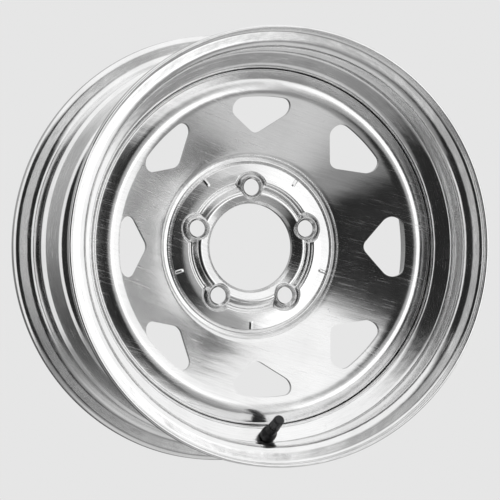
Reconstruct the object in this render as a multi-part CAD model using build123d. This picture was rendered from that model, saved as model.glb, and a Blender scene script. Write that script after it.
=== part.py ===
from build123d import *
from math import atan2, cos, hypot, radians, sin, sqrt, tan
import os

# Steel road wheel, 15 x 7 in: a rolled drop-centre rim with a pressed centre disc welded into it
# and a rubber snap-in tyre valve. Millimetres. The origin is the centre of the hub mounting face,
# +Z is the wheel's axis and points outboard, and the valve stands at -Y.

# Rim, measured on the tyre side of the sheet
rim_sheet = 3.0
rim_width = 177.8
rim_offset = 0.0
seat_radius = 190.0
flange_height = 17.5
lip_width = 12.7
curl_bend = 6.5
seat_width = 21.0
seat_taper = 5.0
hump_height = 1.3
hump_ramp = 2.5
inner_hump_width = 6.0
inner_hump_fall = 6.0
inner_leg_drop = 3.4
inner_leg_length = 33.5
inner_leg_taper = 7.4
inner_well_slope = 35.0
outer_hump_width = 10.2
well_depth = 17.3

# Centre disc, measured on its outboard face: the widths follow each other outwards from the bore
disc_sheet = 4.0
disc_fit_gap = 0.05
bore_radius = 41.6
bore_edge_height = 8.6
bore_trim = 2.0
crown_width = 8.9
crown_height = 12.4
crown_fall = 7.5
channel_width = 1.8
channel_height = 5.4
ring_wall = 2.8
ring_inner_height = 9.3
ring_flat = 5.9
ring_top_height = 9.0
ring_slope = 10.9
ring_outer_height = 6.9
groove_wall = 3.2
groove_width = 4.2
groove_rise = 2.4
cone_foot_height = 5.6
lower_cone_share = 0.30669
cone_top_height = 23.6
crest_height = 52.3
crest_width = 19.15
edge_height = 43.4
flange_length = 29.0
crown_bend = 4.5
ring_bend = 20.0
ring_crown_drop = 0.8
crest_bend = 9.0

# Windows in the disc
window_count = 8
window_crest_margin = 7.7
window_tip_margin = 1.0
window_width = 57.6
window_corner_share = 0.27515

# Nut seats
nut_count = 5
nut_circle = 114.3
nut_hole = 15.9
nut_wall = 3.4
seat_mouth_diameter = 19.7
seat_mouth_height = 13.6
seat_rim = 1.1
boss_foot_radius = 13.4
pocket_radius = 14.6
pocket_flare = 2.2
pocket_wall = 3.4

# Hub cap nibs on the ring's outer edge
nib_count = 5
nib_radius = 2.6
nib_length = 8.0
nib_rise = 1.0

# Weld beads behind the disc flange
weld_count = 8
weld_arc = 27.0
weld_leg = 4.0
weld_crown = 0.6

# Valve, measured along its own axis from the air side of the well wall
valve_hole = 11.5
valve_tilt = 24.0
valve_drop = 8.6
valve_fit_gap = 0.12
stem_button_radius = 8.2
stem_button_depth = 6.4
button_end_taper = (2.6, 2.4)
button_face_taper = (1.6, 1.9)
stem_seat_radius = 6.0
stem_shoulder_radius = 7.5
stem_shoulder_rise = 3.0
stem_shoulder_length = 15.0
stem_neck_taper = 6.0
stem_neck_radius = 5.5
stem_tip_chamfer = 0.8
stem_length = 26.6
insert_radius = 3.85
insert_root_radius = 3.2
insert_tip = 38.0
insert_chamfer = 0.6
insert_bore = 2.7
insert_throat = 2.1
throat_top = 22.0
core_gap = 0.08
core_top = 36.6
core_head = 4.2
core_body_radius = 1.75
core_bottom = 17.0
core_pin_bore = 1.35
core_pin_radius = 0.6
core_pin_play = 0.1
core_pin_top = 37.6
core_pin_bottom = 12.6
core_collar_length = 1.0
core_collar_depth = 1.2
core_cup_radius = 1.55
core_cup_depth = 2.0
core_seal_length = 3.0
core_seal_lift = 0.9
core_stop_length = 1.6
core_spring_wire = 0.22
core_spring_turns = 6
cap_bottom = 27.2
cap_length = 14.8
cap_radius = 5.2
cap_tip_radius = 4.3
cap_crown = 2.2
cap_tip_room = 1.6
cap_bore_gap = 0.1
cap_flutes = 12
cap_flute_radius = 0.9
cap_flute_bite = 0.35


def unit(a, b):
    """Direction from point a to point b, and the distance."""
    length = hypot(b[0] - a[0], b[1] - a[1])
    return (b[0] - a[0]) / length, (b[1] - a[1]) / length, length


def sheet_section(points, bends, sheet):
    """Section of a bent sheet, whose one face follows the points and whose other lies to their left.

    bends holds the inside radius at each inner point, or 0 for a plain corner on both faces. A bend
    that its two runs are too short for takes the largest radius that fits.
    """
    runs = [unit(a, b) for a, b in zip(points, points[1:])]
    first, last = runs[0], runs[-1]
    others = [(points[0][0] - first[1] * sheet, points[0][1] + first[0] * sheet)]
    face_radii, other_radii, turns = [], [], []
    for point, before, after in zip(points[1:-1], runs, runs[1:]):
        cross = before[0] * after[1] - before[1] * after[0]
        half = atan2(cross, before[0] * after[0] + before[1] * after[1]) / 2
        mitre_x, mitre_y = -before[1] - after[1], before[0] + after[0]
        reach = sheet / cos(half) / hypot(mitre_x, mitre_y)
        others.append((point[0] + mitre_x * reach, point[1] + mitre_y * reach))
        turns.append(half)
    end = points[-1]
    others.append((end[0] - last[1] * sheet, end[1] + last[0] * sheet))
    other_runs = [unit(a, b) for a, b in zip(others, others[1:])]
    for i, (half, bend) in enumerate(zip(turns, bends)):
        face_room = 0.48 * min(runs[i][2], runs[i + 1][2]) / tan(abs(half))
        other_room = 0.48 * min(other_runs[i][2], other_runs[i + 1][2]) / tan(abs(half))
        outside_bend = bend + sheet if bend else 0
        face_radii.append(min(outside_bend if half > 0 else bend, face_room))
        other_radii.append(min(bend if half > 0 else outside_bend, other_room))
    face = FilletPolyline(*points, radius=face_radii)
    other = FilletPolyline(*others, radius=other_radii)
    ends = Line(points[0], others[0]).edges() + Line(points[-1], others[-1]).edges()
    return Plane.XZ * make_face(face.edges() + other.edges() + ends)


def turned(*outline):
    """Solid of revolution about the local Z axis from (radius, height) points."""
    return revolve(Plane.XZ * make_face(Polyline(*outline, close=True)), Axis.Z)


# Rim: the tyre side of the strip from the inboard lip to the outboard lip
lip_radius = seat_radius + flange_height
flange_in = -rim_offset - rim_width / 2
flange_out = -rim_offset + rim_width / 2
seat_end_radius = seat_radius - seat_width * tan(radians(seat_taper))
hump_radius = seat_end_radius + hump_height
seat_end_in = flange_in + seat_width
hump_end_in = seat_end_in + hump_ramp + inner_hump_width
leg_start = hump_end_in + inner_hump_fall
leg_start_radius = seat_radius - inner_leg_drop
leg_end = leg_start + inner_leg_length
leg_end_radius = leg_start_radius - inner_leg_length * tan(radians(inner_leg_taper))
well_radius = seat_radius - well_depth
well_in = leg_end + (leg_end_radius - well_radius) * tan(radians(inner_well_slope))
seat_end_out = flange_out - seat_width
wall_top = seat_end_out - hump_ramp - outer_hump_width
well_out = wall_top - (hump_radius - well_radius) * tan(radians(valve_tilt))
rim_points = [
    (lip_radius, flange_in - lip_width),
    (lip_radius, flange_in),
    (seat_radius, flange_in),
    (seat_end_radius, seat_end_in),
    (hump_radius, seat_end_in + hump_ramp),
    (hump_radius, hump_end_in),
    (leg_start_radius, leg_start),
    (leg_end_radius, leg_end),
    (well_radius, well_in),
    (well_radius, well_out),
    (hump_radius, wall_top),
    (hump_radius, seat_end_out - hump_ramp),
    (seat_end_radius, seat_end_out),
    (seat_radius, flange_out),
    (lip_radius, flange_out),
    (lip_radius, flange_out + lip_width),
]
rim_bends = [curl_bend] + [0] * (len(rim_points) - 4) + [curl_bend]
rim_barrel = revolve(sheet_section(rim_points, rim_bends, rim_sheet), Axis.Z)

# Valve hole, square to the well's outboard wall
tilt_sin, tilt_cos = sin(radians(valve_tilt)), cos(radians(valve_tilt))
tyre_side_radius = hump_radius - valve_drop
tyre_side_height = wall_top - valve_drop * tilt_sin / tilt_cos
valve_radius = tyre_side_radius - rim_sheet * tilt_sin
valve_height = tyre_side_height + rim_sheet * tilt_cos
valve_frame = Plane((0, -valve_radius, valve_height), x_dir=(1, 0, 0), z_dir=(0, tilt_sin, tilt_cos))
hole_tool = Cylinder(valve_hole / 2, 6 * rim_sheet)
rim_barrel -= valve_frame * hole_tool

# Disc: the outboard face of the pressing from the flange's inboard edge to the bore
flange_radius = well_radius - rim_sheet - disc_fit_gap
flange_edge = edge_height - flange_length
groove_height = disc_sheet
crown_radius = bore_radius + crown_width
channel_inner_radius = crown_radius + crown_fall
channel_outer_radius = channel_inner_radius + channel_width
ring_inner_radius = channel_outer_radius + ring_wall
ring_top_radius = ring_inner_radius + ring_flat
ring_outer_radius = ring_top_radius + ring_slope
groove_inner_radius = ring_outer_radius + groove_wall
groove_outer_radius = groove_inner_radius + groove_width
cone_foot_radius = groove_outer_radius + groove_rise
crest_radius = flange_radius - crest_width
cone_top_radius = cone_foot_radius + lower_cone_share * (crest_radius - cone_foot_radius)
bore_slope = (crown_height - bore_edge_height) / crown_width
disc_points = [
    (flange_radius, flange_edge),
    (flange_radius, edge_height),
    (crest_radius, crest_height),
    (cone_top_radius, cone_top_height),
    (cone_foot_radius, cone_foot_height),
    (groove_outer_radius, groove_height),
    (groove_inner_radius, groove_height),
    (ring_outer_radius, ring_outer_height),
    (ring_top_radius, ring_top_height),
    (ring_inner_radius, ring_inner_height),
    (channel_outer_radius, channel_height),
    (channel_inner_radius, channel_height),
    (crown_radius, crown_height),
    (bore_radius - bore_trim, bore_edge_height - bore_trim * bore_slope),
]
disc_bends = [0, crest_bend, 0, 0, 0, 0, 0, ring_bend, 0, 0, 0, crown_bend]
bore_tool = Cylinder(bore_radius, 2 * crown_height)
wheel_disc = revolve(sheet_section(disc_points, disc_bends, disc_sheet), Axis.Z) - bore_tool

# Pockets that the pressing leaves round each nut seat, where it crosses the raised ring
pocket_floor = channel_height - disc_sheet
pocket_top = ring_top_height + disc_sheet
flare = pocket_flare / (pocket_top - channel_height)
pocket = turned(
    (0, channel_height),
    (pocket_radius, channel_height),
    (pocket_radius + flare * (pocket_top - channel_height), pocket_top),
    (0, pocket_top),
)
pocket_outside = turned(
    (0, pocket_floor),
    (pocket_radius + pocket_wall - flare * disc_sheet, pocket_floor),
    (pocket_radius + pocket_wall + pocket_flare, pocket_top),
    (0, pocket_top),
)
ring_body = turned(
    (channel_inner_radius, pocket_floor),
    (ring_outer_radius, pocket_floor),
    (ring_outer_radius, ring_outer_height),
    (ring_top_radius, ring_top_height - ring_crown_drop),
    (ring_inner_radius, ring_inner_height),
    (channel_outer_radius, channel_height),
    (channel_inner_radius, channel_height),
)
ring_zone = turned(
    (channel_inner_radius, pocket_floor),
    (groove_inner_radius, pocket_floor),
    (groove_inner_radius, pocket_top),
    (channel_inner_radius, pocket_top),
)

# Nut seat: a raised boss, hollow behind, with a conical seat over the stud hole
hole_radius = nut_hole / 2
mouth_radius = seat_mouth_diameter / 2
cone_depth = (mouth_radius - hole_radius) / tan(radians(30))
seat_foot = seat_mouth_height - cone_depth
hollow_top = seat_foot - nut_wall
boss = turned(
    (0, pocket_floor),
    (boss_foot_radius, pocket_floor),
    (boss_foot_radius, channel_height),
    (mouth_radius + seat_rim, seat_mouth_height),
    (0, seat_mouth_height),
)
behind_crown = turned(
    (0, -disc_sheet),
    (channel_inner_radius - disc_sheet / 2, -disc_sheet),
    (channel_inner_radius - disc_sheet / 2, pocket_floor),
    (crown_radius, crown_height - disc_sheet),
    (bore_radius, bore_edge_height - disc_sheet),
    (0, bore_edge_height - disc_sheet),
)
seat_tool = turned(
    (0, -disc_sheet),
    (boss_foot_radius - disc_sheet / 2, -disc_sheet),
    (boss_foot_radius - disc_sheet / 2, pocket_floor),
    (hole_radius, hollow_top),
    (hole_radius, seat_foot),
    (mouth_radius, seat_mouth_height),
    (mouth_radius, seat_mouth_height + disc_sheet),
    (0, seat_mouth_height + disc_sheet),
)
nut_places = PolarLocations(nut_circle / 2, nut_count, start_angle=90)
pockets = [place * pocket & ring_zone for place in nut_places]
pocket_shells = [(place * pocket_outside & ring_body) - place * pocket for place in nut_places]
bosses = [place * boss - behind_crown - bore_tool for place in nut_places]
wheel_disc = wheel_disc - pockets + pocket_shells + bosses
wheel_disc -= [place * seat_tool for place in nut_places]

# Windows: rounded triangles, point towards the hub
window_outer_radius = crest_radius - window_crest_margin
window_inner_radius = cone_top_radius + window_tip_margin
window_corner = window_corner_share * (window_outer_radius - window_inner_radius)
tip_centre = window_inner_radius + window_corner
side_centre = window_width / 2 - window_corner
arc_radius = window_outer_radius - window_corner
arc_end = sqrt(arc_radius**2 - side_centre**2)
window_core = ThreePointArc((arc_end, -side_centre), (arc_radius, 0), (arc_end, side_centre)).edges()
window_core += Polyline((arc_end, side_centre), (tip_centre, 0), (arc_end, -side_centre)).edges()
window = extrude(offset(make_face(window_core), window_corner), crest_height + disc_sheet)
wheel_disc -= [Rot(0, 0, 360 / window_count * i) * window for i in range(window_count)]

# Nibs that hold a hub cap, pressed out half way between the nut seats
nib_fall = atan2(ring_top_height - ring_outer_height, ring_outer_radius - ring_top_radius)
nib_place = Plane(
    (ring_outer_radius - nib_length / 2, 0, ring_outer_height + nib_length / 2 * tan(nib_fall)),
    x_dir=(sin(nib_fall), 0, cos(nib_fall)),
    z_dir=(cos(nib_fall), 0, -sin(nib_fall)),
)
nib_depth = nib_radius - nib_rise
nib = nib_place * Pos(-nib_depth, 0, 0) * Cylinder(nib_radius, nib_length)
nib &= ring_zone
wheel_disc += [Rot(0, 0, 90 + 360 / nib_count * (i + 0.5)) * nib for i in range(nib_count)]

# Weld beads in the corner of the flange's inboard edge and the well
bead_radius = flange_radius
bead = Plane.XZ * make_face(
    Polyline((bead_radius, flange_edge), (bead_radius - weld_leg, flange_edge)).edges()
    + ThreePointArc(
        (bead_radius - weld_leg, flange_edge),
        (bead_radius - weld_crown * weld_leg, flange_edge - weld_crown * weld_leg),
        (bead_radius, flange_edge - weld_leg),
    ).edges()
    + Line((bead_radius, flange_edge - weld_leg), (bead_radius, flange_edge)).edges()
)
bead = Rot(0, 0, -weld_arc / 2) * revolve(bead, Axis.Z, weld_arc)
disc_welds = Compound([Rot(0, 0, 360 / weld_count * i) * bead for i in range(weld_count)])

# Valve stem: rubber, squeezed into the hole between its button and its shoulder
button_face = -rim_sheet - valve_fit_gap
button_end = button_face - stem_button_depth
hole_fill = valve_hole / 2 - valve_fit_gap
stem_outline = [
    (insert_root_radius, button_end),
    (stem_button_radius - button_end_taper[0], button_end),
    (stem_button_radius, button_end + button_end_taper[1]),
    (stem_button_radius, button_face - button_face_taper[1]),
    (stem_button_radius - button_face_taper[0], button_face),
    (hole_fill, button_face),
    (hole_fill, valve_fit_gap),
    (stem_seat_radius, valve_fit_gap),
    (stem_shoulder_radius, stem_shoulder_rise),
    (stem_shoulder_radius, stem_shoulder_length - stem_neck_taper),
    (stem_neck_radius, stem_shoulder_length),
    (stem_neck_radius, stem_length - stem_tip_chamfer),
    (stem_neck_radius - stem_tip_chamfer, stem_length),
    (insert_root_radius, stem_length),
]
valve_stem = valve_frame * turned(*stem_outline)

# Brass insert, moulded into the rubber, with a bore that the core screws into
insert_outline = [
    (insert_throat, button_end),
    (insert_root_radius, button_end),
    (insert_root_radius, stem_length),
    (insert_radius, stem_length),
    (insert_radius, insert_tip - insert_chamfer),
    (insert_radius - insert_chamfer, insert_tip),
    (insert_bore, insert_tip),
    (insert_bore, throat_top + core_seal_length),
    (insert_throat, throat_top),
]
valve_insert = valve_frame * turned(*insert_outline)

# Valve core: a screwed body, a seal on the insert's cone, and a sprung pin with a rubber cup
head_radius = insert_bore - core_gap
pin_hole = core_pin_radius + core_pin_play
head_bottom = core_top - core_head
seal_top = throat_top + core_seal_length
seal_bottom = throat_top + core_seal_lift
seal_cone = (insert_bore - insert_throat) / core_seal_length
seal_foot_radius = insert_throat + seal_cone * core_seal_lift - core_gap
stop_top = core_bottom + core_stop_length
core_body = valve_frame * turned(
    (pin_hole, core_bottom),
    (core_body_radius, core_bottom),
    (core_body_radius, head_bottom),
    (head_radius, head_bottom),
    (head_radius, core_top),
    (core_pin_bore, core_top),
    (core_pin_bore, stop_top),
    (pin_hole, stop_top),
)
core_seal = valve_frame * turned(
    (core_body_radius, seal_bottom),
    (seal_foot_radius, seal_bottom),
    (insert_bore - core_gap, seal_top),
    (core_body_radius, seal_top),
)
collar_top = core_top - core_collar_depth
collar_bottom = collar_top - core_collar_length
collar_radius = core_pin_bore - core_pin_play
cup_top = core_bottom - valve_fit_gap
core_pin = valve_frame * turned(
    (0, core_pin_bottom),
    (core_pin_radius, core_pin_bottom),
    (core_pin_radius, collar_bottom),
    (collar_radius, collar_bottom),
    (collar_radius, collar_top),
    (core_pin_radius, collar_top),
    (core_pin_radius, core_pin_top),
    (0, core_pin_top),
)
core_cup = valve_frame * turned(
    (core_pin_radius, cup_top - core_cup_depth),
    (core_cup_radius, cup_top - core_cup_depth),
    (core_cup_radius, cup_top),
    (core_pin_radius, cup_top),
)
spring_bottom = stop_top + core_spring_wire
spring_length = collar_bottom - core_spring_wire - spring_bottom
spring_radius = (core_pin_radius + core_pin_bore) / 2
spring_pitch = spring_length / core_spring_turns
spring_path = Pos(0, 0, spring_bottom) * Helix(spring_pitch, spring_length, spring_radius)
spring_section = Plane(spring_path @ 0, z_dir=spring_path % 0) * RegularPolygon(core_spring_wire / 2, 4)
core_spring = valve_frame * sweep(spring_section, spring_path)

# Valve cap: moulded plastic with grip flutes, screwed over the insert
cap_top = cap_bottom + cap_length
cap_bore = insert_radius + cap_bore_gap
cap_inside = insert_tip + cap_tip_room
valve_cap = turned(
    (cap_bore, cap_bottom),
    (cap_radius, cap_bottom),
    (cap_radius, cap_top - cap_crown),
    (cap_tip_radius, cap_top),
    (0, cap_top),
    (0, cap_inside),
    (cap_bore, cap_inside),
)
flute_radius = cap_radius + cap_flute_radius - cap_flute_bite
flute = Pos(0, 0, cap_bottom + cap_length / 2) * Cylinder(cap_flute_radius, cap_length - 2 * cap_crown)
valve_cap -= [place * flute for place in PolarLocations(flute_radius, cap_flutes)]
valve_cap = valve_frame * valve_cap

nodes = {
    "rim_barrel": rim_barrel,
    "wheel_disc": wheel_disc,
    "disc_welds": disc_welds,
    "valve_stem": valve_stem,
    "valve_insert": valve_insert,
    "core_body": core_body,
    "core_seal": core_seal,
    "core_pin": core_pin,
    "core_cup": core_cup,
    "core_spring": core_spring,
    "valve_cap": valve_cap,
}
os.makedirs("parts", exist_ok=True)
for name, shape in nodes.items():
    export_step(shape, f"parts/{name}.step")
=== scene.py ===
import bmesh
import bpy
import math
import numpy as np
from mathutils import Matrix, Vector
from mathutils.geometry import delaunay_2d_cdt


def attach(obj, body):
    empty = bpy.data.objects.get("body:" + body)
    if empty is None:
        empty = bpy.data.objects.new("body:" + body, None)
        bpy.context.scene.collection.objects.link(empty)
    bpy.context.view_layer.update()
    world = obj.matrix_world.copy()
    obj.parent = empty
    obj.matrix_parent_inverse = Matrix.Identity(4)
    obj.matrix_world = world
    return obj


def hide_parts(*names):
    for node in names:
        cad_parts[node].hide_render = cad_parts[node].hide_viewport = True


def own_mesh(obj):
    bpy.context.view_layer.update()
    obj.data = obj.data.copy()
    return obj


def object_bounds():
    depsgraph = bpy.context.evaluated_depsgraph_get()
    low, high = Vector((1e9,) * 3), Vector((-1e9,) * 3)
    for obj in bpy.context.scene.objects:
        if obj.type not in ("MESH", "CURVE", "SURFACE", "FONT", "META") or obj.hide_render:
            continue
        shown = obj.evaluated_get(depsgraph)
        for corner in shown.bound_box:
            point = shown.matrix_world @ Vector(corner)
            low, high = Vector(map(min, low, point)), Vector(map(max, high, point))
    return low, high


# The wheel lies on its inboard lip, and the camera looks down on its outboard face from the left.
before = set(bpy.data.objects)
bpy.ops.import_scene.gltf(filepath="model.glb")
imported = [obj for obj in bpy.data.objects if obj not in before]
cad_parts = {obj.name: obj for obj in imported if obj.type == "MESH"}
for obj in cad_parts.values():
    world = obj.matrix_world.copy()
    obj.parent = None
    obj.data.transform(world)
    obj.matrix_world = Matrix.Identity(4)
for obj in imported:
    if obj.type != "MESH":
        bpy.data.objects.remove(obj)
cad_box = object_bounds()
scene = bpy.context.scene
scene.view_settings.view_transform = "Standard"
mm = 0.001

# Camera: a long lens far away, turned 18 degrees off the wheel's axis towards its left side.
# The distance, the turn and the focal length were fitted to the nut seats, windows and lips.
focal_length = 324.7
camera_turn = math.radians(18.28)
camera_tilt = math.radians(-0.385)
camera_roll = math.radians(0.149)
camera_distance = 4307.5
camera_shift_right = -2.708
camera_shift_up = -2.999
aim_height = 13.55
ct, st = math.cos(camera_turn), math.sin(camera_turn)
cp, sp = math.cos(camera_tilt), math.sin(camera_tilt)
cr, sr = math.cos(camera_roll), math.sin(camera_roll)
right = Vector((cr * ct, -sr * ct, st))
up = Vector((sr * cp + cr * st * sp, cr * cp - sr * st * sp, -ct * sp))
back = Vector((sr * sp - cr * st * cp, cr * sp + sr * st * cp, ct * cp))
camera_place = right * camera_shift_right + up * camera_shift_up + back * camera_distance
camera_place += Vector((0, 0, aim_height))
camera_data = bpy.data.cameras.new("camera")
camera_data.lens = focal_length
camera = bpy.data.objects.new("camera", camera_data)
camera_axes = Matrix((right, up, back)).transposed().to_4x4()
camera.matrix_world = Matrix.Translation(camera_place * mm) @ camera_axes
scene.collection.objects.link(camera)
scene.camera = camera

# Floor: a pale self-lit sheet, as over a light table, so that the wheel's openings read pale.
# Reflections pass it, and see the studio's own lower half instead.
floor_white = 0.791
floor_reach = 6.0
floor_mesh = bpy.data.meshes.new("floor")
floor_z = cad_box[0].z
floor_corners = ((-1, -1), (1, -1), (1, 1), (-1, 1))
floor_points = [(x * floor_reach, y * floor_reach, floor_z) for x, y in floor_corners]
floor_mesh.from_pydata(floor_points, [], [(0, 1, 2, 3)])
floor = bpy.data.objects.new("floor", floor_mesh)
scene.collection.objects.link(floor)
floor_material = bpy.data.materials.new("floor")
floor_material.use_nodes = True
floor_shader = floor_material.node_tree.nodes["Principled BSDF"]
floor_shader.inputs["Base Color"].default_value = (0.0, 0.0, 0.0, 1)
floor_shader.inputs["Roughness"].default_value = 1.0
floor_shader.inputs["Specular IOR Level"].default_value = 0.0
floor_shader.inputs["Emission Color"].default_value = (1, 1, 1, 1)
floor_shader.inputs["Emission Strength"].default_value = floor_white
floor_mesh.materials.append(floor_material)
floor.visible_glossy = False

# Studio, as a function of direction. A white wall stands to the right, white light comes from the
# wheel's top, grey from the valve's side, and a long dark flag hangs over the wheel's left. The
# panels' edges below are shares of the direction along the axis that each is measured on.
room_light = 0.40
wall_edge_light = 1.40
wall_light = 1.05
behind_left_light = 0.86
low_left_light = 0.9
underneath_light = (0.08, 0.42)
flag_light = 0.02
top_light = 1.0
valve_side_light = 0.28
valve_floor_light = 0.62
dark_floor_light = 0.05

world = bpy.data.worlds.new("studio")
scene.world = world
world.use_nodes = True
studio = world.node_tree


def add_node(tree, kind, settings=None, **inputs):
    """Adds a node, sets its properties, and sets or links its inputs by name (spaces as _)."""
    node = tree.nodes.new(kind)
    for key, value in (settings or {}).items():
        setattr(node, key, value)
    for key, value in inputs.items():
        by_number = key[0] == "i" and key[1:].isdigit()
        socket = node.inputs[int(key[1:]) if by_number else key.replace("_", " ")]
        if isinstance(value, bpy.types.NodeSocket):
            tree.links.new(value, socket)
        else:
            socket.default_value = value
    return node


def ramp(tree, value, start, end, low=0.0, high=1.0):
    """Soft step of the value, from low at the start to high at the end."""
    return add_node(
        tree, "ShaderNodeMapRange", {"interpolation_type": "SMOOTHSTEP"}, Value=value,
        From_Min=start, From_Max=end, To_Min=low, To_Max=high,
    ).outputs["Result"]


def reckon(tree, operation, *values):
    """One Math node's result."""
    inputs = {f"i{k}": value for k, value in enumerate(values)}
    return add_node(tree, "ShaderNodeMath", {"operation": operation}, **inputs).outputs["Value"]


def times(tree, a, b):
    return reckon(tree, "MULTIPLY", a, b)


def vector_reckon(tree, operation, **inputs):
    """One Vector Math node's result."""
    node = add_node(tree, "ShaderNodeVectorMath", {"operation": operation}, **inputs)
    return node.outputs["Value" if operation in ("DOT_PRODUCT", "LENGTH") else "Vector"]


def towards(aim):
    """How far the direction goes along the aim, which is in the wheel's axes."""
    return vector_reckon(studio, "DOT_PRODUCT", i0=direction, i1=aim)


def panel(light, mask, brightness):
    """Lays a panel of one brightness over the light so far, where the mask is 1."""
    return add_node(studio, "ShaderNodeMix", Factor=mask, A=light, B=brightness).outputs["Result"]


direction = add_node(studio, "ShaderNodeTexCoord").outputs["Generated"]
to_right, to_top, to_front = towards((1, 0, 0)), towards((0, 1, 0)), towards((0, 0, 1))
to_valve_side = towards((0.1, -1, 0))
light = ramp(studio, to_right, 0.29, 0.38, room_light, wall_edge_light)
light = panel(light, ramp(studio, to_right, 0.50, 0.62), wall_light)
to_left = ramp(studio, to_right, 0.1, -0.2)
light = panel(light, times(studio, to_left, ramp(studio, to_front, 0.20, 0.0)), behind_left_light)
far_left = ramp(studio, to_right, -0.70, -0.88)
light = panel(light, times(studio, far_left, ramp(studio, to_front, 0.02, 0.10)), low_left_light)
from_left = ramp(studio, to_right, -0.80, -0.60)
from_below = ramp(studio, to_front, -0.60, -0.80)
underneath = ramp(studio, to_top, -0.35, 0.35, *underneath_light)
light = panel(light, times(studio, from_left, from_below), underneath)
over_left = ramp(studio, to_right, 0.12, 0.04)
light = panel(light, times(studio, over_left, ramp(studio, to_front, 0.26, 0.34)), flag_light)
light = panel(light, ramp(studio, towards((0.3, 1, 0)), 0.28, 0.56), top_light)
light = panel(light, ramp(studio, to_valve_side, 0.36, 0.56), valve_side_light)
light = panel(light, ramp(studio, to_valve_side, 0.66, 0.86), valve_floor_light)
low_right = times(studio, ramp(studio, to_right, 0.2, 0.5), ramp(studio, to_front, -0.34, -0.55))
light = panel(light, low_right, dark_floor_light)
studio_shade = studio.nodes["Background"]
studio.links.new(light, studio_shade.inputs["Color"])
studio_shade.inputs["Strength"].default_value = 1.0

# Rim: one strip of 3 mm steel rolled to the drop-centre section, butt welded into a ring and
# dipped in zinc. Both faces of the strip are straight runs with round bends between them.
rim_sheet = 3.0
lip_radius = 207.5
lip_height = 101.6
flange_height = 88.9
flange_rise = 1.2
seat_radius = 190.0
seat_end_radius = 188.16
seat_end = 67.9
hump_radius = 189.46
hump_foot = 65.4
hump_end_in = 59.4
leg_start = (186.6, 53.4)
leg_end = (182.25, 19.9)
well_radius = 172.7
well_in = 13.2
well_out = 47.74
wall_top = 55.2
curl_bend = 6.5
seat_corner_bend = 6.5
hump_bend = 4.0
well_bend = 5.0
lip_edge_round = 1.0
corner_share = 0.48
rim_segments = 288
merge_distance = 1e-6


def unit(a, b):
    length = math.hypot(b[0] - a[0], b[1] - a[1])
    return (b[0] - a[0]) / length, (b[1] - a[1]) / length, length


def offset_path(points, distance):
    """The path shifted to its left by the distance, with mitred corners."""
    runs = [unit(a, b) for a, b in zip(points, points[1:])]
    shifted = []
    for i, point in enumerate(points):
        before, after = runs[max(i - 1, 0)], runs[min(i, len(runs) - 1)]
        mx, my = -before[1] - after[1], before[0] + after[0]
        reach = 2 * distance / (mx * mx + my * my)
        shifted.append((point[0] + mx * reach, point[1] + my * reach))
    return shifted


def rounded_path(points, radii, turn_step=9.0, support=0.3, run_step=5.0):
    """The path with round corners, with even points along its straight runs. No corner takes
    more than its share of a run."""
    corners = []
    for a, p, b, radius in zip(points, points[1:-1], points[2:], radii):
        u, v = unit(p, a), unit(p, b)
        turn = math.pi - math.acos(max(-1, min(1, u[0] * v[0] + u[1] * v[1])))
        reach = min(radius * math.tan(turn / 2), corner_share * u[2], corner_share * v[2])
        radius = reach / math.tan(turn / 2)
        bisector = unit((0, 0), (u[0] + v[0], u[1] + v[1]))
        depth = radius / math.cos(turn / 2)
        centre = (p[0] + bisector[0] * depth, p[1] + bisector[1] * depth)
        start = (p[0] + u[0] * reach, p[1] + u[1] * reach)
        angle = math.atan2(start[1] - centre[1], start[0] - centre[0])
        sense = 1 if u[0] * v[1] - u[1] * v[0] < 0 else -1
        steps = max(2, math.ceil(math.degrees(turn) / turn_step))
        corners.append([
            (centre[0] + radius * math.cos(angle + sense * turn * k / steps),
             centre[1] + radius * math.sin(angle + sense * turn * k / steps))
            for k in range(steps + 1)
        ])
    stops = [[points[0]], *corners, [points[-1]]]
    path = []
    for here, there in zip(stops, stops[1:]):
        path += here
        a, b = here[-1], there[0]
        dx, dy, length = unit(a, b)
        inset = min(support, length / 4)
        count = max(1, round((length - 2 * inset) / run_step))
        marks = [inset + (length - 2 * inset) * k / count for k in range(count + 1)]
        path += [(a[0] + dx * m, a[1] + dy * m) for m in marks]
    return path + stops[-1]


rim_face = [
    (lip_radius, -lip_height),
    (lip_radius, -flange_height - flange_rise),
    (seat_radius, -flange_height),
    (seat_end_radius, -seat_end),
    (hump_radius, -hump_foot),
    (hump_radius, -hump_end_in),
    (leg_start[0], -leg_start[1]),
    (leg_end[0], -leg_end[1]),
    (well_radius, -well_in),
    (well_radius, well_out),
    (hump_radius, wall_top),
    (hump_radius, hump_foot),
    (seat_end_radius, seat_end),
    (seat_radius, flange_height),
    (lip_radius, flange_height + flange_rise),
    (lip_radius, lip_height),
]
inside_bends = [curl_bend, seat_corner_bend] + [hump_bend] * 5 + [well_bend] * 3 + [hump_bend] * 2
inside_bends += [seat_corner_bend, curl_bend]
left_turns = [unit(a, b)[0] * unit(b, c)[1] - unit(a, b)[1] * unit(b, c)[0] > 0
              for a, b, c in zip(rim_face, rim_face[1:], rim_face[2:])]
face_radii = [bend + rim_sheet * left for bend, left in zip(inside_bends, left_turns)]
other_radii = [bend + rim_sheet * (not left) for bend, left in zip(inside_bends, left_turns)]
rim_inside = offset_path(rim_face, rim_sheet)


def round_strip_end(face_end, other_end, along):
    """Half-round end of the strip, from one face's end to the other's."""
    cx, cy = (face_end[0] + other_end[0]) / 2, (face_end[1] + other_end[1]) / 2
    hx, hy = face_end[0] - cx, face_end[1] - cy
    steps = 8
    points = []
    for k in range(steps + 1):
        turn = math.pi * k / steps
        ahead = lip_edge_round * (math.sin(turn) - 1)
        x, y = cx + hx * math.cos(turn), cy + hy * math.cos(turn)
        points.append((x + along[0] * ahead, y + along[1] * ahead))
    return points


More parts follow.
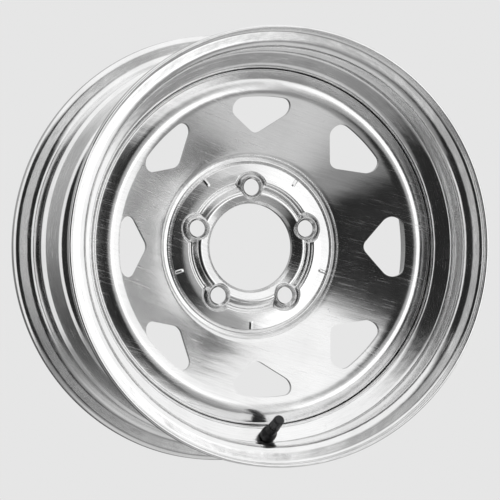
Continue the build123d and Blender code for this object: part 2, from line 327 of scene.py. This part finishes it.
def shorten(path, amount):
    """The path with its two ends drawn in by the amount, along the strip."""
    return [(path[0][0], path[0][1] + amount), *path[1:-1], (path[-1][0], path[-1][1] - amount)]


rim_outline = rounded_path(shorten(rim_face, lip_edge_round), face_radii)
rim_outline += round_strip_end(rim_face[-1], rim_inside[-1], (0, 1))[1:-1]
rim_outline += rounded_path(shorten(rim_inside, lip_edge_round), other_radii)[::-1]
rim_outline += round_strip_end(rim_inside[0], rim_face[0], (0, -1))[1:-1]


def lathe(name, outline, segments, place=None, shape=None):
    """Closed mesh turned about Z from (radius, height) points in millimetres; the outline runs with
    the solid on its left. shape may change the radii by angle, and place moves the result."""
    profile = np.array(outline)
    angles = np.arange(segments) * 2 * np.pi / segments
    radii = np.broadcast_to(profile[:, 0][None, :], (segments, len(profile)))
    heights = np.broadcast_to(profile[:, 1][None, :], radii.shape)
    if shape:
        radii = shape(radii, heights, angles[:, None])
    x, y = radii * np.cos(angles)[:, None], radii * np.sin(angles)[:, None]
    points = np.stack([x, y, heights], axis=-1).reshape(-1, 3) * mm
    if place:
        points = points @ np.array(place.to_3x3()).T + np.array(place.translation)
    count = len(outline)
    faces = []
    for i in range(segments):
        j = (i + 1) % segments
        for k in range(count):
            n = (k + 1) % count
            faces.append((i * count + k, j * count + k, j * count + n, i * count + n))
    mesh = bpy.data.meshes.new(name)
    mesh.from_pydata(points.tolist(), [], faces)
    if profile[:, 0].min() == 0:
        shell = bmesh.new()
        shell.from_mesh(mesh)
        bmesh.ops.remove_doubles(shell, verts=shell.verts, dist=merge_distance)
        shell.to_mesh(mesh)
        shell.free()
    mesh.shade_smooth()
    turned = bpy.data.objects.new(name, mesh)
    scene.collection.objects.link(turned)
    return turned


def bake(source, name):
    """New object with the source's shape, modifiers included; the source is deleted."""
    seen_by = bpy.context.evaluated_depsgraph_get()
    mesh = bpy.data.meshes.new_from_object(source.evaluated_get(seen_by))
    bpy.data.objects.remove(source)
    mesh.name = name
    baked = bpy.data.objects.new(name, mesh)
    scene.collection.objects.link(baked)
    return baked


# The valve stands square to the well's outboard wall, which leans 24 degrees.
valve_tilt = math.radians(24)
valve_root_radius = 179.643
valve_root_height = 54.112
valve_hole = 5.75
hole_depth = 9.0
valve_segments = 64
valve_place = Matrix((
    (1, 0, 0, 0),
    (0, math.cos(valve_tilt), math.sin(valve_tilt), -valve_root_radius * mm),
    (0, -math.sin(valve_tilt), math.cos(valve_tilt), valve_root_height * mm),
    (0, 0, 0, 1),
))
drill_outline = [(0, -hole_depth), (valve_hole, -hole_depth)]
drill_outline += [(valve_hole, hole_depth), (0, hole_depth)]
rim = lathe("rim_strip", rim_outline, rim_segments)
drill = lathe("drill", drill_outline, valve_segments, place=valve_place)
cut = rim.modifiers.new("valve_hole", "BOOLEAN")
cut.operation = "DIFFERENCE"
cut.solver = "EXACT"
cut.object = drill
rim = bake(rim, "rolled_rim")
bpy.data.objects.remove(drill)

# Zinc on rolled steel: bright satin metal with fine rolling lines, a sheet that is never quite
# flat, cloudy patches, and small dull stains.
zinc_shade = 0.93
zinc_roughness = 0.16
line_height = 0.00003
wave_height = 0.00035
stain_shade = 0.75
scuff_roughness = 0.22
spangle_share = 0.5


def noise(tree, vector, scale, detail=3.0, roughness=0.55):
    return add_node(
        tree, "ShaderNodeTexNoise", Vector=vector, Scale=scale, Detail=detail, Roughness=roughness,
    ).outputs["Fac"]


def metal(name, lines_along, waves_along):
    """Zinc on sheet steel; the two functions give the coordinates of its rolling lines and waves."""
    material = bpy.data.materials.new(name)
    material.use_nodes = True
    tree = material.node_tree
    shader = tree.nodes["Principled BSDF"]
    place = add_node(tree, "ShaderNodeTexCoord").outputs["Object"]
    lines = noise(tree, lines_along(tree, place), 1.0, 5.0, 0.65)
    waves = noise(tree, waves_along(tree, place), 1.0, 2.0, 0.5)
    clouds = noise(tree, place, 16.0, 4.0)
    spots = noise(tree, place, 90.0, 4.0, 0.7)
    spangle = noise(tree, place, 900.0, 2.0, 0.5)
    stain = times(tree, ramp(tree, spots, 0.60, 0.80), ramp(tree, clouds, 0.50, 0.66))
    tone = ramp(tree, lines, 0.3, 0.7, 0.95, 1.03)
    tone = times(tree, tone, ramp(tree, clouds, 0.3, 0.7, 0.90, 1.03))
    tone = times(tree, tone, ramp(tree, stain, 0.0, 1.0, 1.0, stain_shade))
    value = times(tree, tone, zinc_shade)
    colour = add_node(tree, "ShaderNodeCombineColor", Red=value, Green=value, Blue=value)
    tree.links.new(colour.outputs["Color"], shader.inputs["Base Color"])
    rough = times(tree, ramp(tree, clouds, 0.3, 0.7, 0.8, 1.3), zinc_roughness)
    scuff = times(tree, ramp(tree, lines, 0.54, 0.70), ramp(tree, clouds, 0.36, 0.60))
    dull = reckon(tree, "MAXIMUM", stain, scuff)
    rough = reckon(tree, "MULTIPLY_ADD", dull, scuff_roughness, rough)
    tree.links.new(rough, shader.inputs["Roughness"])
    shader.inputs["Metallic"].default_value = 1.0
    grain = reckon(tree, "MULTIPLY_ADD", spangle, spangle_share, lines)
    wavy = add_node(tree, "ShaderNodeBump", Height=waves, Strength=1.0, Distance=wave_height)
    lined = add_node(
        tree, "ShaderNodeBump", Height=grain, Strength=1.0, Distance=line_height,
        Normal=wavy.outputs["Normal"],
    )
    tree.links.new(lined.outputs["Normal"], shader.inputs["Normal"])
    return material


def round_the_ring(across_scale, around_scale):
    """Coordinates that run round the wheel: fast across the strip, slow along it."""
    def coordinates(tree, place):
        parts = add_node(tree, "ShaderNodeSeparateXYZ", Vector=place).outputs
        flat = add_node(tree, "ShaderNodeCombineXYZ", X=parts["X"], Y=parts["Y"], Z=0.0)
        length = vector_reckon(tree, "LENGTH", i0=flat.outputs["Vector"])
        heading = vector_reckon(tree, "NORMALIZE", i0=flat.outputs["Vector"])
        around = vector_reckon(tree, "SCALE", i0=heading, Scale=around_scale)
        across = times(tree, reckon(tree, "ADD", parts["Z"], length), across_scale)
        lift = add_node(tree, "ShaderNodeCombineXYZ", X=0.0, Y=0.0, Z=across)
        return vector_reckon(tree, "ADD", i0=around, i1=lift.outputs["Vector"])
    return coordinates


rim_zinc = metal("rim_zinc", round_the_ring(900.0, 6.0), round_the_ring(70.0, 7.0))
rim.data.materials.append(rim_zinc)
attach(rim, "wheel")
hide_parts("rim_barrel")

# Centre disc: one stamping of 4 mm sheet with a dished face, a raised ring and groove round the
# hub, five coned nut seats in pockets of the ring, eight windows and a flange for the welds. Its
# profile gives the outboard face's corners, as radius and height, from the flange to the bore.
disc_sheet = 4.0
bore_radius = 41.6
flange_radius = well_radius - rim_sheet - 0.05
flange_edge = 14.4
disc_profile = [
    (flange_radius, flange_edge),
    (flange_radius, 45.3),
    (150.5, 52.3),
    (91.0, 10.3),
    (88.0, 8.8),
    (86.4, 4.2),
    (82.6, 4.0),
    (79.4, 6.9),
    (68.5, 9.0),
    (62.6, 9.3),
    (60.4, 4.8),
    (52.3, 13.0),
    (44.0, 9.6),
    (bore_radius - 2.0, 5.9),
]
disc_radii = [6.0, 20.0, 16.0, 1.2, 1.0, 1.6, 1.6, 40.0, 1.2, 1.8, 4.5, 2.5]
disc_path = rounded_path(disc_profile, disc_radii, turn_step=6.0)
edge_top = next(k for k, (r, z) in enumerate(disc_path) if r < flange_radius - 1e-6)
path_radius = np.array([p[0] for p in disc_path[edge_top - 1:]])[::-1]
path_height = np.array([p[1] for p in disc_path[edge_top - 1:]])[::-1]

nut_circle = 57.15
nut_angles = [math.radians(90 + 72 * k) for k in range(5)]
nut_hole = 7.95
seat_mouth = 9.85
seat_top = 13.6
seat_slope = 1.732
boss_top = 9.6
boss_foot = 14.4
channel_height = 5.4
pocket_radius = 14.6
pocket_slope = 5.0
valley_radius = 60.4
boss_zone = 16.0
nut_land = 2.4
hollow_slope = 1.6
hollow_radius = 13.4
nib_angles = [math.radians(90 + 36 + 72 * k) for k in range(5)]
nib_reach = (71.4, 79.6)
nib_half_width = 1.8
nib_height = 0.7
nib_run_in = 2.0
nib_run_out = 0.6
pocket_blend = 1.4
boss_blend = 1.2
seat_blend = 0.5
seat_lip = 1.0


def soft_min(a, b, blend):
    """The lower of two heights, with a round corner of the blend's width where they meet."""
    mix = np.clip(0.5 + 0.5 * (b - a) / blend, 0, 1)
    return b * (1 - mix) + a * mix - blend * mix * (1 - mix)


def disc_height(x, y, formed=True):
    """Height of the disc's outboard face in millimetres, without holes; formed adds its bosses
    and nibs."""
    r = np.hypot(x, y)
    z = np.interp(r, path_radius, path_height)
    for angle in nib_angles if formed else []:
        along = x * math.cos(angle) + y * math.sin(angle)
        beside = -x * math.sin(angle) + y * math.cos(angle)
        rise = np.clip(1 - (beside / nib_half_width) ** 2, 0, 1)
        run_in = np.clip((along - nib_reach[0]) / nib_run_in, 0, 1)
        run_out = np.clip((nib_reach[1] - along) / nib_run_out, 0, 1)
        z = z + nib_height * rise * (run_in * run_out)
    for angle in nut_angles:
        d = np.hypot(x - nut_circle * math.cos(angle), y - nut_circle * math.sin(angle))
        pocket = channel_height + np.maximum(d - pocket_radius, 0) * pocket_slope
        z = np.where(r > valley_radius, soft_min(z, pocket, pocket_blend), z)
        if formed:
            down = np.clip((d - boss_top) / (boss_foot - boss_top), 0, 1)
            share = 0.5 + 0.5 * np.cos(np.pi * down)
            boss = channel_height + (seat_top - channel_height) * share
            z = np.where(d < boss_zone, -soft_min(-z, -boss, boss_blend), z)
            cone = seat_top - (seat_mouth - d) * seat_slope
            z = np.where(d < seat_mouth + seat_lip, soft_min(z, cone, seat_blend), z)
    return z


def face_normals(x, y, formed=True, step=0.12):
    """Unit normals of the outboard face, by differences."""
    slope_x = disc_height(x + step, y, formed) - disc_height(x - step, y, formed)
    slope_y = disc_height(x, y + step, formed) - disc_height(x, y - step, formed)
    normals = np.stack([-slope_x / (2 * step), -slope_y / (2 * step), np.ones(len(x))], axis=1)
    return normals / np.linalg.norm(normals, axis=1)[:, None]


def circle(radius, count, cx=0.0, cy=0.0):
    a = np.arange(count) * 2 * np.pi / count
    return np.stack([cx + radius * np.cos(a), cy + radius * np.sin(a)], axis=1)


window_outer = 142.8
window_inner = 109.0
window_width = 57.6
window_corner = 9.3
window_angles = [k * math.pi / 4 for k in range(8)]
arc_steps = 20
corner_steps = 12
side_steps = 8


def window_outline(grow=0.0):
    """Rounded triangle with its point towards the hub, grown outwards by a margin."""
    side = window_width / 2 - window_corner
    arc = window_outer - window_corner
    tip = window_inner + window_corner
    end = math.sqrt(arc * arc - side * side)
    corner = window_corner + grow
    lead = math.atan2(side, end)
    slant = math.atan2(side, end - tip)
    points = []
    for k in range(arc_steps + 1):
        a = -lead + 2 * lead * k / arc_steps
        points.append(((arc + corner) * math.cos(a), (arc + corner) * math.sin(a)))
    for k in range(1, corner_steps + 1):
        a = lead + (slant + math.pi / 2 - lead) * k / corner_steps
        points.append((end + corner * math.cos(a), side + corner * math.sin(a)))
    for k in range(1, side_steps):
        a = slant + math.pi / 2
        f = k / side_steps
        x, y = end + (tip - end) * f, side * (1 - f)
        points.append((x + corner * math.cos(a), y + corner * math.sin(a)))
    for k in range(corner_steps + 1):
        a = slant + math.pi / 2 + (math.pi - 2 * slant) * k / corner_steps
        points.append((tip + corner * math.cos(a), corner * math.sin(a)))
    upper = points[arc_steps + 1:arc_steps + corner_steps + side_steps]
    lower = [(x, -y) for x, y in upper][::-1]
    return np.array(points + lower)


def turn_points(points, angle):
    x, y = points[:, 0], points[:, 1]
    c, s = math.cos(angle), math.sin(angle)
    return np.stack([x * c - y * s, x * s + y * c], axis=1)


def inside(points, loop):
    """Which points lie inside the closed loop."""
    x, y = points[:, 0], points[:, 1]
    result = np.zeros(len(points), bool)
    for (ax, ay), (bx, by) in zip(loop, np.roll(loop, -1, axis=0)):
        crosses = (ay > y) != (by > y)
        result ^= crosses & (x < (bx - ax) * (y - ay) / (by - ay + 1e-12) + ax)
    return result


# The face's points lie on rings round the bore, the nut seats and the windows, and in small grids
# under the nibs, so that each bend has its own rows.
inner_segments = 240
outer_segments = 288
outer_rings_from = 88
nut_segments = 72
edge_gap = 0.3
flange_gap = 0.02
ring_gap = 0.28
nut_clear = 16.7
window_clear = 1.5
nut_rings = [
    8.25, 8.6, 9.2, 9.6, 9.85, 10.1, 10.5, 10.8, 11.1, 11.5, 12.0, 12.5, 13.0, 13.4, 13.8, 14.2,
    14.6, 14.9, 15.2, 15.6, 16.2,
]
window_rings = [0.15, 0.35, 0.6, 1.1]
nib_grid = 0.4
nib_along = (71.0, 81.6)
nib_beside = (-2.4, 2.5)
bend_radii = [
    r for r in np.unique(np.round(path_radius, 3))
    if bore_radius + edge_gap < r < flange_radius - flange_gap
]
ring_radii = [bend_radii[0]]
for r in bend_radii:
    if r - ring_radii[-1] > ring_gap:
        ring_radii.append(r)
ring_points = np.concatenate([
    circle(r, outer_segments if r > outer_rings_from else inner_segments) for r in ring_radii
])
nut_places = [(nut_circle * math.cos(a), nut_circle * math.sin(a)) for a in nut_angles]
window_loops = [turn_points(window_outline(), a) for a in window_angles]
keep = np.ones(len(ring_points), bool)
for cx, cy in nut_places:
    keep &= np.hypot(ring_points[:, 0] - cx, ring_points[:, 1] - cy) > nut_clear
for a in window_angles:
    keep &= ~inside(ring_points, turn_points(window_outline(window_clear), a))
points = [ring_points[keep]]
for cx, cy in nut_places:
    for d in nut_rings:
        loop = circle(d, nut_segments, cx, cy)
        r = np.hypot(loop[:, 0], loop[:, 1])
        points.append(loop[r > bore_radius + edge_gap])
for a in window_angles:
    for grow in window_rings:
        points.append(turn_points(window_outline(grow), a))
for a in nib_angles:
    for along in np.arange(*nib_along, nib_grid):
        for beside in np.arange(*nib_beside, nib_grid):
            points.append(turn_points(np.array([[along, beside]]), a))
bore_border = circle(bore_radius, inner_segments)
flange_border = circle(flange_radius, outer_segments)
borders = [bore_border, flange_border]
borders += [circle(nut_hole, nut_segments, cx, cy) for cx, cy in nut_places] + window_loops
edges = []
start = sum(len(p) for p in points)
for loop in borders:
    edges += [(start + k, start + (k + 1) % len(loop)) for k in range(len(loop))]
    start += len(loop)
flat_points = np.concatenate(points + borders)
made = delaunay_2d_cdt([Vector(p) for p in flat_points.tolist()], edges, [], 0, 1e-5)
flat = np.array([tuple(p) for p in made[0]])
triangles = np.array(made[2])
centres = flat[triangles].mean(axis=1)
solid = np.ones(len(triangles), bool)
for cx, cy in nut_places:
    solid &= np.hypot(centres[:, 0] - cx, centres[:, 1] - cy) > nut_hole
for loop in window_loops:
    solid &= ~inside(centres, loop)
solid &= inside(centres, flange_border) & ~inside(centres, bore_border)
triangles = triangles[solid]
a, b, c = flat[triangles[:, 0]], flat[triangles[:, 1]], flat[triangles[:, 2]]
area = (b[:, 0] - a[:, 0]) * (c[:, 1] - a[:, 1])
area -= (b[:, 1] - a[:, 1]) * (c[:, 0] - a[:, 0])
triangles[area < 0] = triangles[area < 0][:, ::-1]
normals = face_normals(flat[:, 0], flat[:, 1])
radius = np.hypot(flat[:, 0], flat[:, 1])
outermost = radius > flange_radius - 1e-3
outwards = flat[outermost] / radius[outermost][:, None]
normals[outermost] = np.column_stack([outwards, 0 * radius[outermost]])
top = np.column_stack([flat, disc_height(flat[:, 0], flat[:, 1])])

# The inboard face: straight below the sheet's face, square to it near the flange, and hollow
# behind the nut seats.
steepest = 0.3
deepest = 7.0
turn_in_from = 148.0
turn_in_run = 5.0
sheet_normals = face_normals(flat[:, 0], flat[:, 1], formed=False)
sheet_z = disc_height(flat[:, 0], flat[:, 1], formed=False)
below_z = sheet_z - np.minimum(disc_sheet / np.maximum(sheet_normals[:, 2], steepest), deepest)
seat_foot = seat_top - (seat_mouth - nut_hole) * seat_slope
for cx, cy in nut_places:
    d = np.hypot(flat[:, 0] - cx, flat[:, 1] - cy)
    hollow = seat_foot - nut_land - (d - nut_hole) * hollow_slope
    below_z = np.where(d < hollow_radius, np.maximum(below_z, hollow), below_z)
below = np.column_stack([flat, below_z])
turn_in = np.clip((radius - turn_in_from) / turn_in_run, 0, 1)[:, None]
bottom = below * (1 - turn_in) + (top - normals * disc_sheet) * turn_in
edge_count = {}
for t in triangles:
    for p, q in ((t[0], t[1]), (t[1], t[2]), (t[2], t[0])):
        edge_count[(p, q)] = edge_count.get((p, q), 0) + 1
rim_edges = [e for e in edge_count if (e[1], e[0]) not in edge_count]
count = len(flat)
vertices = np.concatenate([top, bottom])
faces = [tuple(t) for t in triangles]
faces += [(t[2] + count, t[1] + count, t[0] + count) for t in triangles]
flange_rings = {}
extra = []


def flange_vertex(index, level):
    """A point of the flange's end under an outermost point of the face."""
    key = (index, level)
    if key not in flange_rings:
        x, y = flat[index] / radius[index]
        reach = flange_radius if level == 0 else flange_radius - disc_sheet
        flange_rings[key] = 2 * count + len(extra)
        extra.append((x * reach, y * reach, flange_edge))
    return flange_rings[key]


for p, q in rim_edges:
    if outermost[p] and outermost[q]:
        p0, q0 = flange_vertex(p, 0), flange_vertex(q, 0)
        p1, q1 = flange_vertex(p, 1), flange_vertex(q, 1)
        faces += [(q, p, p0, q0), (q0, p0, p1, q1), (q1, p1, p + count, q + count)]
    else:
        faces.append((q, p, p + count, q + count))
vertices = np.concatenate([vertices, np.array(extra)]) * mm
disc_mesh = bpy.data.meshes.new("pressed_disc")
disc_mesh.from_pydata(vertices.tolist(), [], [tuple(int(v) for v in f) for f in faces])
disc_mesh.shade_smooth()
disc = bpy.data.objects.new("pressed_disc", disc_mesh)
scene.collection.objects.link(disc)
below_normals = np.zeros((count, 3))
corners = bottom[triangles[:, ::-1]]
across = np.cross(corners[:, 1] - corners[:, 0], corners[:, 2] - corners[:, 0])
for k in range(3):
    np.add.at(below_normals, triangles[:, k], across)
below_normals /= np.maximum(np.linalg.norm(below_normals, axis=1), 1e-9)[:, None]
corner_normals = []
face_sides = len(triangles)
for number, polygon in enumerate(disc_mesh.polygons):
    for v in polygon.vertices:
        if number < face_sides:
            corner_normals.append(normals[v])
        elif number < 2 * face_sides:
            corner_normals.append(below_normals[v - count])
        else:
            corner_normals.append(polygon.normal)
disc_mesh.normals_split_custom_set([tuple(n) for n in corner_normals])


def across_the_sheet(*scales):
    """Coordinates that run straight across the pressing, falling to the right."""
    def coordinates(tree, place):
        fall = (0, 0, math.radians(18))
        turned = add_node(tree, "ShaderNodeMapping", Vector=place, Rotation=fall).outputs["Vector"]
        return add_node(tree, "ShaderNodeMapping", Vector=turned, Scale=scales).outputs["Vector"]
    return coordinates


disc_lines = across_the_sheet(18.0, 900.0, 40.0)
disc_waves = across_the_sheet(12.0, 50.0, 12.0)
disc_zinc = metal("disc_zinc", disc_lines, disc_waves)
disc_mesh.materials.append(disc_zinc)
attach(disc, "wheel")
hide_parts("wheel_disc")

# Weld beads: eight stitches in the corner of the disc's flange and the well, each a row of
# overlapping ripples. The row is laid once along an arc and repeated round the wheel.
weld_count = 8
weld_arc = math.radians(27)
weld_ripples = 46
weld_radius = 168.9
weld_height = 13.9
ripple_size = 3.3
ripple_least = 0.93
ripple_seed = 7

weld_zinc = metal("weld_zinc", round_the_ring(300.0, 60.0), round_the_ring(70.0, 30.0))
weld_group = bpy.data.node_groups.new("weld_beads", "GeometryNodeTree")
sockets = weld_group.interface
weld_inputs = {
    "Beads": ("NodeSocketInt", weld_count),
    "Arc": ("NodeSocketFloat", weld_arc),
    "Ripples": ("NodeSocketInt", weld_ripples),
    "Radius": ("NodeSocketFloat", weld_radius * mm),
    "Height": ("NodeSocketFloat", weld_height * mm),
    "Size": ("NodeSocketFloat", ripple_size * mm),
    "Least": ("NodeSocketFloat", ripple_least),
    "Seed": ("NodeSocketInt", ripple_seed),
    "Material": ("NodeSocketMaterial", weld_zinc),
}
asked = {
    name: sockets.new_socket(name, in_out="INPUT", socket_type=kind)
    for name, (kind, value) in weld_inputs.items()
}
sockets.new_socket("Geometry", in_out="OUTPUT", socket_type="NodeSocketGeometry")
given = add_node(weld_group, "NodeGroupInput").outputs


def whole(kind, settings=None, **inputs):
    """Adds a geometry node and returns its first output."""
    return add_node(weld_group, kind, settings, **inputs).outputs[0]


arc = whole(
    "GeometryNodeCurveArc", {"mode": "RADIUS"}, Resolution=64, Radius=given["Radius"],
    Start_Angle=times(weld_group, given["Arc"], -0.5), Sweep_Angle=given["Arc"],
)
lift = whole("ShaderNodeCombineXYZ", X=0.0, Y=0.0, Z=given["Height"])
arc = whole("GeometryNodeTransform", Geometry=arc, Translation=lift)
row = whole("GeometryNodeCurveToPoints", {"mode": "COUNT"}, Curve=arc, Count=given["Ripples"])
ripple = whole("GeometryNodeMeshUVSphere", Segments=16, Rings=10, Radius=1.0)
spread = add_node(
    weld_group, "FunctionNodeRandomValue", {"data_type": "FLOAT"},
    i2=given["Least"], i3=1.0, Seed=given["Seed"],
)
size = times(weld_group, spread.outputs[1], given["Size"])
size = whole("ShaderNodeCombineXYZ", X=size, Y=size, Z=size)
row = whole("GeometryNodeInstanceOnPoints", Points=row, Instance=ripple, Scale=size)
row = whole("GeometryNodeRealizeInstances", Geometry=row)
turns = times(weld_group, whole("GeometryNodeInputIndex"), math.tau)
turns = reckon(weld_group, "DIVIDE", turns, given["Beads"])
heading = whole("ShaderNodeCombineXYZ", X=0.0, Y=0.0, Z=turns)
stations = whole("GeometryNodePoints", Count=given["Beads"])
beads = whole("GeometryNodeInstanceOnPoints", Points=stations, Instance=row, Rotation=heading)
beads = whole("GeometryNodeRealizeInstances", Geometry=beads)
beads = whole("GeometryNodeSetShadeSmooth", Geometry=beads)
beads = whole("GeometryNodeSetMaterial", Geometry=beads, Material=given["Material"])
end = weld_group.nodes.new("NodeGroupOutput")
weld_group.links.new(beads, end.inputs[0])
weld_source = bpy.data.objects.new("weld_source", bpy.data.meshes.new("weld_source"))
scene.collection.objects.link(weld_source)
laid = weld_source.modifiers.new("weld_beads", "NODES")
laid.node_group = weld_group
for name, (kind, value) in weld_inputs.items():
    laid[asked[name].identifier] = value
welds = bake(weld_source, "weld_beads")
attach(welds, "wheel")
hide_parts("disc_welds")


# Valve: a moulded rubber stem, pulled into the rim's hole, round a turned brass insert, which has
# the thread for the fluted plastic cap. The core's body, seal, pin and cup inside keep the frame's
# shapes and get their materials here.
def plain(name, colour, metallic, roughness, grain_scale, grain_height):
    """One colour with a fine grain."""
    material = bpy.data.materials.new(name)
    material.use_nodes = True
    tree = material.node_tree
    shader = tree.nodes["Principled BSDF"]
    shader.inputs["Base Color"].default_value = (*colour, 1)
    shader.inputs["Metallic"].default_value = metallic
    place = add_node(tree, "ShaderNodeTexCoord").outputs["Object"]
    grain = noise(tree, place, grain_scale)
    rough = ramp(tree, grain, 0.3, 0.7, roughness * 0.85, roughness * 1.15)
    tree.links.new(rough, shader.inputs["Roughness"])
    bump = add_node(tree, "ShaderNodeBump", Height=grain, Strength=1.0, Distance=grain_height)
    tree.links.new(bump.outputs["Normal"], shader.inputs["Normal"])
    return material


rubber = plain("black_rubber", (0.012, 0.012, 0.013), 0.0, 0.55, 1500.0, 0.00004)
brass = plain("turned_brass", (0.72, 0.52, 0.22), 1.0, 0.25, 4000.0, 0.000004)
drawn_steel = plain("drawn_steel", (0.6, 0.6, 0.6), 1.0, 0.2, 4000.0, 0.000003)
cap_plastic = plain("cap_plastic", (0.014, 0.014, 0.016), 0.0, 0.38, 3000.0, 0.00001)

button_end = -9.52
stem_end = 26.6
insert_radius = 3.2
stem_path = [
    (insert_radius, button_end), (5.6, button_end), (8.2, -7.12), (8.2, -5.02), (6.6, -3.12),
    (5.63, -3.12), (5.63, 0.12), (6.0, 0.12), (7.5, 3.0), (7.5, 9.0), (5.5, 15.0), (5.5, 25.8),
    (4.7, stem_end), (insert_radius, stem_end),
]
stem_radii = [1.0, 1.0, 0.6, 0.3, 0.2, 0.2, 0.4, 1.5, 4.0, 4.0, 0.5, 0.3]
stem_outline = rounded_path(stem_path, stem_radii, turn_step=12.0, support=0.1, run_step=1.0)
stem = lathe("rubber_stem", stem_outline, valve_segments, place=valve_place)
stem.data.materials.append(rubber)

thread_start = 27.4
thread_end = 37.0
thread_radius = 3.85
thread_depth = 0.42
thread_pitch = 0.794
thread_marks = [thread_start + 0.1 * k for k in range(int((thread_end - thread_start) * 10) + 1)]
insert_segments = 48
insert_outline = [(2.1, button_end), (insert_radius, button_end)]
insert_outline += [(insert_radius, stem_end), (thread_radius, stem_end)]
insert_outline += [(thread_radius, z) for z in thread_marks]
insert_outline += [(thread_radius, 37.4), (3.25, 38.0), (2.7, 38.0), (2.7, 25.0), (2.1, 22.0)]


def faded(heights, start, end, run=0.5):
    """1 between the two heights, falling to 0 over a short run at each."""
    return np.clip((heights - start) / run, 0, 1) * np.clip((end - heights) / run, 0, 1)


def threaded(radii, heights, angles):
    """Cuts the thread into the outer radius, as a wave that climbs one pitch in a turn."""
    wave = 0.5 - 0.5 * np.cos(2 * np.pi * heights / thread_pitch - angles)
    wave = wave * faded(heights, thread_start, thread_end)
    return np.where(radii == thread_radius, radii - thread_depth * wave, radii)


insert = lathe("brass_insert", insert_outline, insert_segments, place=valve_place, shape=threaded)
insert.data.materials.append(brass)

cap_bottom = 27.2
cap_top = 42.0
cap_radius = 5.2
cap_bore = 3.95
cap_wall_least = 0.5
cap_inside = 39.6
cap_flutes = 12
flute_radius = 0.9
flute_reach = 5.75
flute_inset = 2.2
cap_segments = 144
cap_path = [
    (cap_bore, cap_bottom), (cap_radius, cap_bottom), (cap_radius, cap_top - flute_inset),
    (4.3, cap_top), (0, cap_top),
]
cap_outline = rounded_path(cap_path, [0.3, 1.6, 0.8], turn_step=12.0, support=0.1, run_step=0.5)
cap_outline += [(0, cap_inside), (cap_bore, cap_inside)]


def fluted(radii, heights, angles):
    """Grip flutes round the cap's side, each a shallow round groove."""
    pitch = 2 * np.pi / cap_flutes
    away = (angles + pitch / 2) % pitch - pitch / 2
    beside = flute_reach * np.sin(away)
    inner = flute_reach * np.cos(away) - np.sqrt(np.maximum(flute_radius**2 - beside**2, 0))
    cut_depth = np.where(np.abs(beside) < flute_radius, np.maximum(cap_radius - inner, 0), 0)
    cut_depth = cut_depth * faded(heights, cap_bottom + flute_inset, cap_top - flute_inset)
    return np.where(radii > cap_bore + cap_wall_least, radii - cut_depth, radii)


cap = lathe("grip_cap", cap_outline, cap_segments, place=valve_place, shape=fluted)
cap.data.materials.append(cap_plastic)
for piece, body, node, finish in (
    (stem, "wheel", "valve_stem", "rubber"), (insert, "wheel", "valve_insert", "brass"),
    (cap, "cap", "valve_cap", "cap_plastic"),
):
    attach(piece, body)
    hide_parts(node)
core_finish = {"core_body": brass, "core_seal": rubber, "core_pin": drawn_steel, "core_cup": rubber}
for name, material in core_finish.items():
    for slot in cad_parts[name].material_slots:
        slot.material = material

# Core spring: a coil of fine drawn wire inside the core, as the frame winds it. Its foot stands on
# the core's body.
spring_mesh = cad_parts["core_spring"].data.copy()
wire = bmesh.new()
wire.from_mesh(spring_mesh)
bmesh.ops.remove_doubles(wire, verts=wire.verts, dist=merge_distance)
wire.to_mesh(spring_mesh)
wire.free()
spring_mesh.shade_smooth()
spring_mesh.materials.clear()
spring_mesh.materials.append(drawn_steel)
spring = bpy.data.objects.new("coil_spring", spring_mesh)
scene.collection.objects.link(spring)
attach(spring, "wheel")
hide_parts("core_spring")
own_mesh(spring)
